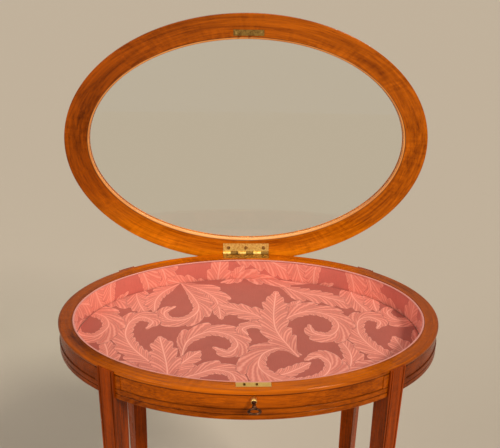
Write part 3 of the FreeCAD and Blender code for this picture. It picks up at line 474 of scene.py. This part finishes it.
def paint_the_case():
    """The legs, the frieze, the mouldings and the rim; each board has its own piece of the grain."""
    for k, corner in enumerate(("back_right", "back_left", "front_left", "front_right")):
        # painted shade: the legs take the darker wood
        paint(satinwood("leg wood " + corner, "z", *SHADED_LEG_WOOD, 0.3, (0.31 * k, 0.17 * k, 0.11 * k),
                        closeness=2.4, coat=0.05), "leg_" + corner)
    for k, (side, way) in enumerate((("front", "x"), ("back", "x"), ("left", "y"), ("right", "y"))):
        # the ends, which run along y, take the darker wood as painted shade
        tones = SHADED_END_WOOD if way == "y" else FRIEZE_WOOD
        # the frieze and its mouldings carry the painted shade lines along the seams
        paint(satinwood("frieze veneer " + side, way, *tones, 0.3, (0.4 * k, 0.2, 0.1 * k),
                        closeness=2.0, coat=0.08, seams=SHADED_SEAMS), "frieze_" + side)
        paint(satinwood("moulding wood " + side, way, *tones, 0.2, (0.3 * k, 0.7, 0.2 * k),
                        coat=0.08, seams=SHADED_SEAMS), "panel_moulding_" + side, "base_moulding_" + side)
    # the rim darkens towards both ends as painted shade
    paint(satinwood("rim wood", "round the case", *RIM_WOOD, 0.45, (0.9, 0.3, 0.1), deep=DEEP_WOOD),
          "top_rim")


def paint_the_lid():
    """The frame's rails, the bead and the glass. The front rail's grain starts half way round."""
    half_way_round = math.pi * MEAN_RADIUS
    # the rails darken towards the lid's left end and take a painted highlight at the raised lid's foot
    for side in ("front", "back", "left", "right"):
        way, start = ("above", half_way_round) if side == "front" else ("below", 0.0)
        paint(satinwood("lid wood " + side, "round the lid from " + way, *LID_WOOD, 0.6, (start, 0, 0),
                        deep=DEEP_WOOD, low=LIT_FOOT_WOOD), "lid_rail_" + side)
    # painted highlight: the bead is paler, more so at its foot, with a dark line round its outer edge
    paint(satinwood("bead wood", "round the lid from below", *LIT_BEAD_WOOD, 0.2, (0.5, 0.6, 0.3),
                    low=LIT_FOOT_BEAD, edged=True), "glazing_bead")
    paint(plate_glass(), "lid_glass")


def paint_the_rest():
    """The plain wood inside, and the metalwork."""
    paint(plain_wood("plain wood"), "bottom_board", "lid_tongues")
    paint(BRASS, "hinge_lid_leaf")
    paint(LOCK_BRASS, "lock_case", "lock_cap", "lock_bolt", "escutcheon")
    paint(DARK_BRASS, "hinge_case_leaf", "link_plate")
    paint(SCREW_BRASS, "hinge_case_screws", "hinge_lid_screws", "lock_screws", "link_screws")
    paint(STEEL, "hinge_pin", "board_screws", "lock_drill_pin")


# ---------------------------------------------------------------- the woven pattern

REPEAT = (0.365, 0.300)
# every leaf of one repeat, from the lowest to the topmost: its spine in millimetres, and how far it
# spreads on the left and on the right of it
LEAVES = [
    ([(56, 152), (88, 126), (132, 110), (186, 78)], 20, 30),
    ([(-176, 156), (-186, 124), (-180, 92), (-166, 58)], 22, 24),
    ([(112, -140), (140, -106), (152, -62), (140, -18)], 16, 24),
    ([(-116, 154), (-138, 130), (-152, 100), (-152, 64)], 12, 22),
    ([(-110, 154), (-78, 134), (-52, 100), (-44, 42)], 30, 20),
    ([(-112, 154), (-90, 110), (-80, 70), (-98, 40), (-126, 38), (-136, 60), (-120, 76)], 27, 11),
    ([(-126, -118), (-158, -102), (-192, -96), (-220, -116)], 16, 28),
    ([(-118, -124), (-86, -112), (-56, -98), (-30, -106), (-24, -128), (-42, -140)], 26, 12),
    ([(-122, -114), (-150, -76), (-178, -40), (-192, -4), (-188, 32), (-170, 46), (-152, 32),
      (-160, 14)], 27, 15),
    ([(-118, -112), (-100, -80), (-76, -52)], 18, 22),
    ([(-120, -120), (-124, -82), (-138, -14)], 26, 26),
    ([(-102, -62), (-94, -22), (-62, 2), (-30, -8), (-18, -34), (-32, -54), (-52, -42)], 29, 13),
    ([(24, -116), (54, -106), (88, -82)], 15, 13),
    ([(76, -62), (46, -44), (20, -58), (12, -90), (32, -118), (70, -128), (106, -112), (118, -84),
      (104, -64), (86, -74)], 13, 36),
    ([(46, 16), (64, 56), (88, 96)], 19, 18),
    ([(42, 2), (22, 42), (-4, 62), (-44, 82)], 28, 25),
    ([(56, -22), (32, 8), (8, 20), (-10, 10), (-2, -6)], 9, 17),
    ([(50, 2), (64, 42), (98, 62), (132, 50), (144, 20), (128, -8), (102, -2), (98, 20)], 32, 13),
    ([(72, -66), (56, -30), (43, 8), (42, 54), (50, 124)], 28, 28),
]
NO_LEAF = -1.0
CURVE_STEPS = 6
# the least length of a fold, and how it sweeps forward from the spine to the edge
LEAST_FOLD, FOLD_SWEEP, SWEEP_EASE = 0.014, 2.1, 0.9
# a tooth rises over this share of a fold; its depth is a share of the width, less in a narrow leaf
TOOTH_RISE, TOOTH_DEPTH, FULL_WIDTH = 0.66, 0.40, 0.020
# shares of a leaf's width: at its base, gained along it, lost along it, and at its tip
BASE_WIDTH, OPENING, NARROWING, TIP_WIDTH = 0.08, 3.2, 0.35, 0.08
# shares of a leaf's length over which its tip closes and its base is shaded, and how much
TIP_LENGTH, BASE_LENGTH, BASE_SHADE = 0.16, 0.3, 0.55
# how far a leaf's shadow reaches, how wide its spine is, and how far beyond a leaf still counts
SHADOW_REACH, SPINE_WIDTH, MARGIN = 0.0012, 0.003, 0.002


def spine_of(points):
    """A smooth line through the points, in metres."""
    held = np.array([points[0]] + list(points) + [points[-1]]) / 1000
    share = np.arange(CURVE_STEPS)[:, None] / CURVE_STEPS
    runs = [0.5 * (2 * b + (c - a) * share + (2 * a - 5 * b + 4 * c - d) * share ** 2
                   + (3 * b - a - 3 * c + d) * share ** 3)
            for a, b, c, d in zip(held, held[1:], held[2:], held[3:])]
    return np.vstack(runs + [held[-1:]])


def to_line(x, y, line):
    """How far each point is from a line, how far along it, on which side, and the line's length."""
    steps = np.diff(line, axis=0)
    lengths = np.hypot(steps[:, 0], steps[:, 1])
    starts = np.concatenate([[0], np.cumsum(lengths)])
    off, along, side = np.full(x.shape, np.inf), np.zeros(x.shape), np.zeros(x.shape)
    for k, length in enumerate(lengths):
        ux, uy = steps[k] / length
        rx, ry = x - line[k, 0], y - line[k, 1]
        held = np.clip(rx * ux + ry * uy, 0, length)
        ex, ey = rx - held * ux, ry - held * uy
        distance = np.hypot(ex, ey)
        nearer = distance < off
        off = np.where(nearer, distance, off)
        along = np.where(nearer, starts[k] + held, along)
        side = np.where(nearer, np.sign(ux * ey - uy * ex), side)
    return off, along, side, starts[-1]


def to_nearest(offset, repeat):
    """The offset to the nearest of the places that lie a repeat apart."""
    return (offset + repeat / 2) % repeat - repeat / 2


def scrolls(x, y):
    """What the woven pattern has at points of the cloth: how far inside the foliage, how far inside
    the topmost leaf, how far off its spine, how many folds along it, and how shaded, 0 to 1."""
    leaf, top = np.full(x.shape, NO_LEAF), np.full(x.shape, NO_LEAF)
    spine, fold, under = np.zeros(x.shape), np.zeros(x.shape), np.zeros(x.shape)
    for points, left, right in LEAVES:
        line = spine_of(points)
        middle = (line.max(0) + line.min(0)) / 2
        reach = (line.max(0) - line.min(0)) / 2 + max(left, right) / 1000 + MARGIN
        dx, dy = to_nearest(x - middle[0], REPEAT[0]), to_nearest(y - middle[1], REPEAT[1])
        near = (np.abs(dx) < reach[0]) & (np.abs(dy) < reach[1])
        off, along, side, length = to_line(dx[near], dy[near], line - middle)
        width = np.where(side >= 0, left, right) / 1000
        share = along / length
        out = off / width
        turns = along / np.maximum(width, LEAST_FOLD) - (FOLD_SWEEP * out - SWEEP_EASE * out ** 2)
        place = turns - np.floor(turns)
        tooth = np.minimum(place / TOOTH_RISE, (1 - place) / (1 - TOOTH_RISE)) ** 0.5
        full = np.clip(BASE_WIDTH + OPENING * share, 0, 1) * (1 - NARROWING * share ** 2)
        full = full * np.clip((1 - share) / TIP_LENGTH, TIP_WIDTH, 1) ** 0.5
        depth = np.clip(width / FULL_WIDTH, 0, 1) * TOOTH_DEPTH
        inside = width * full * (1 - depth + depth * tooth) - off
        over = inside > 0
        beside = np.exp(-(np.minimum(inside, 0) / SHADOW_REACH) ** 2) * (leaf[near] > 0)
        base = BASE_SHADE * np.clip(1 - share / BASE_LENGTH, 0, 1) * np.clip(off / SPINE_WIDTH, 0, 1)
        top[near] = np.where(over, inside, top[near])
        spine[near] = np.where(over, off, spine[near])
        fold[near] = np.where(over, turns, fold[near])
        under[near] = np.where(over, base, np.maximum(under[near], beside))
        leaf[near] = np.maximum(leaf[near], inside)
    return leaf, top, spine, fold, under


def weave_in(piece, shift=(0.0, 0.0)):
    """Lays the pattern on a piece, by its cloth_x and cloth_y attributes and a shift of the two."""
    mesh = piece.data
    places = []
    for name, moved in zip(("cloth_x", "cloth_y"), shift):
        values = np.zeros(len(mesh.vertices))
        mesh.attributes[name].data.foreach_get("value", values)
        places.append(values + moved)
    for name, values in zip(PATTERN, scrolls(*places)):
        laid = mesh.attributes.new(name, "FLOAT", "POINT")
        laid.data.foreach_set("value", values.astype(np.float32))


# ---------------------------------------------------------------- mesh work

# points of the fine line that an oval is measured along
FINE_POINTS = 7201


def piece_of(shape, name, material, smooth=True):
    """An object made from a bmesh, which is freed."""
    for face in shape.faces:
        face.smooth = smooth
    mesh = bpy.data.meshes.new(name)
    shape.to_mesh(mesh)
    shape.free()
    mesh.materials.append(material)
    made = bpy.data.objects.new(name, mesh)
    bpy.context.scene.collection.objects.link(made)
    return made


def oval_way(half, count):
    """Angles that step evenly along an oval from its front, the way along it to each, and the whole
    way round."""
    fine = np.linspace(math.pi, 3 * math.pi, FINE_POINTS)
    points = np.stack([half[0] * np.sin(fine), half[1] * np.cos(fine)], 1)
    way = np.concatenate([[0], np.cumsum(np.hypot(*np.diff(points, axis=0).T))])
    even = np.linspace(0, way[-1], count, endpoint=False)
    return np.interp(even, way, fine), even, way[-1]


def cloth_layers(shape):
    """The two vertex layers of a bmesh that hold its cloth coordinates."""
    return [shape.verts.layers.float.new(name) for name in ("cloth_x", "cloth_y")]


def lay_cloth(shape, cloth_x, cloth_y, length=math.inf):
    """A UV map from the cloth coordinates, whole where a band of that length closes on itself."""
    layer = shape.loops.layers.uv.new("cloth")
    for face in shape.faces:
        ways = [loop.vert[cloth_x] for loop in face.loops]
        joins = max(ways) - min(ways) > length / 2
        for loop, way in zip(face.loops, ways):
            if joins and way < length / 2:
                way += length
            loop[layer].uv = (way, loop.vert[cloth_y])


def oval_band(half, count, profile):
    """A closed band round an oval. The profile is points of (how far outwards, height, cloth_y)."""
    turns, ways, length = oval_way(half, count)
    shape = bmesh.new()
    cloth_x, cloth_y = cloth_layers(shape)
    rings = [bmesh.ops.create_circle(shape, cap_ends=False, segments=count, radius=1.0)["verts"]]
    edges = shape.edges[:]
    for _ in profile[1:]:
        made = bmesh.ops.extrude_edge_only(shape, edges=edges)["geom"]
        fresh = {part for part in made if isinstance(part, bmesh.types.BMVert)}
        edges = [part for part in made
                 if isinstance(part, bmesh.types.BMEdge) and set(part.verts) <= fresh]
        rings.append([next(e.other_vert(old) for e in old.link_edges if e.other_vert(old) in fresh)
                      for old in rings[-1]])
    for ring, (out, height, along) in zip(rings, profile):
        for vert, turn, way in zip(ring, turns, ways):
            normal = Vector((math.sin(turn) / half[0], math.cos(turn) / half[1], 0)).normalized()
            spot = Vector((half[0] * math.sin(turn), half[1] * math.cos(turn), 0)) + normal * out
            vert.co = (spot.x, spot.y, height)
            vert[cloth_x], vert[cloth_y] = way, along
    bmesh.ops.bridge_loops(shape, edges=[e for e in shape.edges if e.is_boundary])
    bmesh.ops.recalc_face_normals(shape, faces=shape.faces)
    lay_cloth(shape, cloth_x, cloth_y, length)
    return shape


# ---------------------------------------------------------------- linings

PAD_COLUMNS, PAD_ROWS = 384, 248
PAD_INSET, PAD_CROWN, PAD_SWELL = 0.0006, 0.0012, 0.00035
# how far in the pad starts to turn down, how far down it turns, and how far in it swells in full
PAD_EDGE, PAD_DROP, PAD_FULL = 0.0025, 0.0014, 0.02
WALL_STEPS, WALL_ROWS = 1120, 28
WALL_BULGE, WALL_FLAT_HEIGHT, WALL_SHIFT = 0.0007, 0.039, (0.12, 0.07)
BRAID_STEPS, BRAID_SIDES = 900, 12
BRAID_MIDDLE_OUT, BRAID_WIDTH = 0.0009, 0.0034


def make_floor_pad():
    """Damask over thin wadding on the floor of the case, a little fuller towards the middle."""
    half = (LINING_HALF[0] - PAD_INSET, LINING_HALF[1] - PAD_INSET)
    shape = bmesh.new()
    bmesh.ops.create_grid(shape, x_segments=PAD_COLUMNS, y_segments=PAD_ROWS, size=1.0)
    cloth_x, cloth_y = cloth_layers(shape)
    for vert in shape.verts:
        x, y = vert.co.x, vert.co.y
        u, v = x * math.sqrt(1 - y * y / 2), y * math.sqrt(1 - x * x / 2)
        inward = (1 - math.hypot(u, v)) * half[1]
        turned = max(0.0, 1 - inward / PAD_EDGE)
        swell = PAD_SWELL * math.sin(31 * u + 2) * math.sin(23 * v + 1) * min(1, inward / PAD_FULL)
        height = PAD_TOP + PAD_CROWN * (1 - u * u - v * v) - PAD_DROP * turned ** 2 + swell
        vert.co = (half[0] * u, half[1] * v, height)
        vert[cloth_x], vert[cloth_y] = vert.co.x, vert.co.y
    rim = [e for e in shape.edges if e.is_boundary]
    made = bmesh.ops.extrude_edge_only(shape, edges=rim)["geom"]
    for vert in made:
        if isinstance(vert, bmesh.types.BMVert):
            vert.co.z = PAD_UNDERSIDE
    bmesh.ops.contextual_create(shape, geom=[e for e in made if isinstance(e, bmesh.types.BMEdge)])
    bmesh.ops.recalc_face_normals(shape, faces=shape.faces)
    lay_cloth(shape, cloth_x, cloth_y)
    pad = piece_of(shape, "floor_pad", FLOOR_DAMASK)
    weave_in(pad)
    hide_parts("floor_lining")
    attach(pad, "case")


def make_wall_cloth(trim):
    """Damask stretched round the inside of the frieze over thin wadding, turned over at the top."""
    profile = []
    for k in range(WALL_ROWS + 1):
        share = k / WALL_ROWS
        bulge = WALL_BULGE * (1 - (2 * share - 1) ** 4)
        height = LINING_FOOT + (LINING_TOP - LINING_FOOT) * share
        profile.append((WALL_BULGE - bulge, height, height - LINING_FOOT))
    back = LINING_THICKNESS + WALL_BULGE
    profile += [(back, LINING_TOP, WALL_FLAT_HEIGHT), (back, LINING_FOOT, WALL_FLAT_HEIGHT)]
    # the wall takes the lighter copy of the damask, as painted light
    cloth = piece_of(oval_band(LINING_HALF, WALL_STEPS, profile), "wall_cloth", LIT_WALL_DAMASK)
    weave_in(cloth, WALL_SHIFT)
    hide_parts("wall_lining")
    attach(cloth, "case")


def make_braid():
    """A narrow flat braid glued over the lining's top edge."""
    profile = []
    for k in range(BRAID_SIDES):
        turn = 2 * math.pi * k / BRAID_SIDES
        across = BRAID_WIDTH / 2 * math.cos(turn)
        height = BRAID_FOOT + (BRAID_TOP - BRAID_FOOT) / 2 * (1 + math.sin(turn))
        profile.append((BRAID_MIDDLE_OUT + across, height, across))
    trim = piece_of(oval_band(LINING_HALF, BRAID_STEPS, profile), "braid", BRAID)
    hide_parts("lining_braid")
    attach(trim, "case")
    return trim


# ---------------------------------------------------------------- key

# the turned part as points of (radius, y): the ring at the bow, the collar, the shank and its hollow
KEY_PROFILE = [(0.0, -0.2173), (0.0026, -0.2173), (0.0033, -0.2157), (0.0031, -0.2141),
               (0.0024, -0.2125), (0.0024, -0.2065), (0.0028, -0.2049), (0.0040, -0.2041),
               (0.0043, -0.2025), (0.0040, -0.2011), (0.0043, -0.2003), (0.0043, -0.1976),
               (0.0036, -0.1969), (0.0024, -0.1965), (0.0024, -0.1868), (0.0021, -0.1864),
               (0.0013, -0.1864), (0.0013, -0.1935)]
BOW_MIDDLE, BOW_RADIUS = (0, -0.2233, KEY_AXIS_Z), 0.0068
BOW_WIRE_RADIUS, BOW_WIRE_SCALE, BOW_SCALE = 0.0016, (1.15, 1, 1), (1.12, 0.80, 0.9)
BIT_SIZE, BIT_MIDDLE, BIT_ROUND = (0.0036, 0.0019, 0.002), (-0.0037, -0.1876, KEY_AXIS_Z), 0.0002
KEY_STEPS, BOW_STEPS, BOW_WIRE_SIDES = 40, 56, 16
WELD = 1e-6


def spin_once(shape, geom, middle, axis, steps):
    """Turns the geometry right round the axis, and welds where it meets itself."""
    bmesh.ops.spin(shape, geom=geom, cent=middle, axis=axis, dvec=(0, 0, 0), angle=2 * math.pi,
                   steps=steps, use_merge=True)
    bmesh.ops.remove_doubles(shape, verts=shape.verts, dist=WELD)


def key_shank():
    """The ring at the bow, the collar and the hollow shank."""
    shape = bmesh.new()
    points = [shape.verts.new((radius, y, KEY_AXIS_Z)) for radius, y in KEY_PROFILE]
    edges = [shape.edges.new(pair) for pair in zip(points, points[1:])]
    spin_once(shape, points + edges, (0, 0, KEY_AXIS_Z), (0, 1, 0), KEY_STEPS)
    bmesh.ops.contextual_create(shape, geom=[e for e in shape.edges if e.is_boundary])
    bmesh.ops.recalc_face_normals(shape, faces=shape.faces)
    return shape


def key_bow():
    """A round wire bent to an oval and flattened a little."""
    shape = bmesh.new()
    ring = bmesh.ops.create_circle(shape, cap_ends=False, segments=BOW_WIRE_SIDES,
                                   radius=BOW_WIRE_RADIUS)["verts"]
    bmesh.ops.scale(shape, verts=ring, vec=BOW_WIRE_SCALE)
    bmesh.ops.rotate(shape, verts=ring, matrix=Matrix.Rotation(math.pi / 2, 3, "X"), cent=(0, 0, 0))
    bmesh.ops.translate(shape, verts=ring, vec=(BOW_RADIUS, 0, 0))
    spin_once(shape, shape.verts[:] + shape.edges[:], (0, 0, 0), (0, 0, 1), BOW_STEPS)
    bmesh.ops.scale(shape, verts=shape.verts, vec=BOW_SCALE)
    bmesh.ops.translate(shape, verts=shape.verts, vec=BOW_MIDDLE)
    bmesh.ops.recalc_face_normals(shape, faces=shape.faces)
    return shape


def key_bit():
    """A plain bit with its edges eased."""
    shape = bmesh.new()
    bmesh.ops.create_cube(shape, size=1.0)
    bmesh.ops.scale(shape, verts=shape.verts, vec=BIT_SIZE)
    bmesh.ops.translate(shape, verts=shape.verts, vec=BIT_MIDDLE)
    bmesh.ops.bevel(shape, geom=shape.edges[:], offset=BIT_ROUND, offset_type="OFFSET", affect="EDGES",
                    segments=2, profile=0.5, material=-1)
    return shape


def make_key():
    """A small furniture key: oval bow, turned collar, hollow shank and a plain bit."""
    shape = key_shank()
    passed_on = bpy.data.meshes.new("key parts")
    for part in (key_bow(), key_bit()):
        part.to_mesh(passed_on)
        part.free()
        shape.from_mesh(passed_on)
    key = piece_of(shape, "turned_key", BRONZE)
    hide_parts("key")
    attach(key, "key")


# ---------------------------------------------------------------- floor, light and camera

FLOOR_RADIUS, FLOOR_SIDES = 14.0, 96
# azimuth, elevation and roll
CAMERA_DEGREES = (-2.35, 25.6, 1.2)
CAMERA_PLACE = (-0.0463, -1.0837, 1.3842)
LENS_MM, SENSOR_MM = 59.03, 36.0
ROOM_COLOUR = (1.0, 0.96, 0.91, 1)
# how strong the room's light is as such, and as it shows in polish and glass
ROOM_LIGHT, MIRRORED_ROOM = 0.34, 0.6


def make_floor():
    """A wide plain floor, which is no part of the object."""
    shape = bmesh.new()
    bmesh.ops.create_circle(shape, cap_ends=True, segments=FLOOR_SIDES, radius=FLOOR_RADIUS)
    material, tree, shader, _ = finish_of("studio floor")
    wire(tree, shader, Base_Color=shade(194, 182, 164), Roughness=0.9, Specular_IOR_Level=0.2)
    floor = piece_of(shape, "studio_floor", material, smooth=False)


def soft_sun(name, towards, strength, spread, colour):
    """A large, far studio lamp: light from that direction, the same all over the floor."""
    light = bpy.data.lights.new(name, "SUN")
    light.energy, light.angle, light.color = strength, spread, colour
    made = bpy.data.objects.new(name, light)
    bpy.context.scene.collection.objects.link(made)
    made.rotation_euler = Vector(towards).to_track_quat("Z", "Y").to_euler()


def make_light():
    """Two lamps in front, and the light of the room."""
    soft_sun("key light", (0.45, -0.60, 0.68), 2.3, 0.22, (1.0, 0.94, 0.86))
    soft_sun("fill light", (-0.62, -0.50, 0.55), 0.8, 0.5, (1.0, 0.95, 0.9))
    world = bpy.data.worlds.new("studio")
    world.use_nodes = True
    tree = world.node_tree
    background = tree.nodes["Background"]
    background.inputs[0].default_value = ROOM_COLOUR
    mirrored = put(tree, "LightPath").outputs["Is Glossy Ray"]
    tree.links.new(between(tree, mirrored, 0, 1, ROOM_LIGHT, MIRRORED_ROOM), background.inputs[1])
    bpy.context.scene.world = world


def make_camera():
    """The camera in front, a little to the left, looking down and rolled a little."""
    azimuth, elevation, roll = (math.radians(turn) for turn in CAMERA_DEGREES)
    back = Vector((math.sin(azimuth) * math.cos(elevation), -math.cos(azimuth) * math.cos(elevation),
                   math.sin(elevation)))
    level = (-back).cross(Vector((0, 0, 1))).normalized()
    upright = level.cross(-back)
    right = level * math.cos(roll) + upright * math.sin(roll)
    up = upright * math.cos(roll) - level * math.sin(roll)
    camera = bpy.data.cameras.new("camera")
    camera.lens = LENS_MM
    camera.sensor_width = SENSOR_MM
    made = bpy.data.objects.new("camera", camera)
    bpy.context.scene.collection.objects.link(made)
    turned = Matrix((right, up, back)).transposed().to_4x4()
    made.matrix_world = Matrix.Translation(CAMERA_PLACE) @ turned
    bpy.context.scene.camera = made


paint_the_case()
paint_the_lid()
paint_the_rest()
make_floor_pad()
make_wall_cloth(make_braid())
make_key()
make_floor()
make_light()
make_camera()
bpy.context.scene.view_settings.view_transform = "Standard"
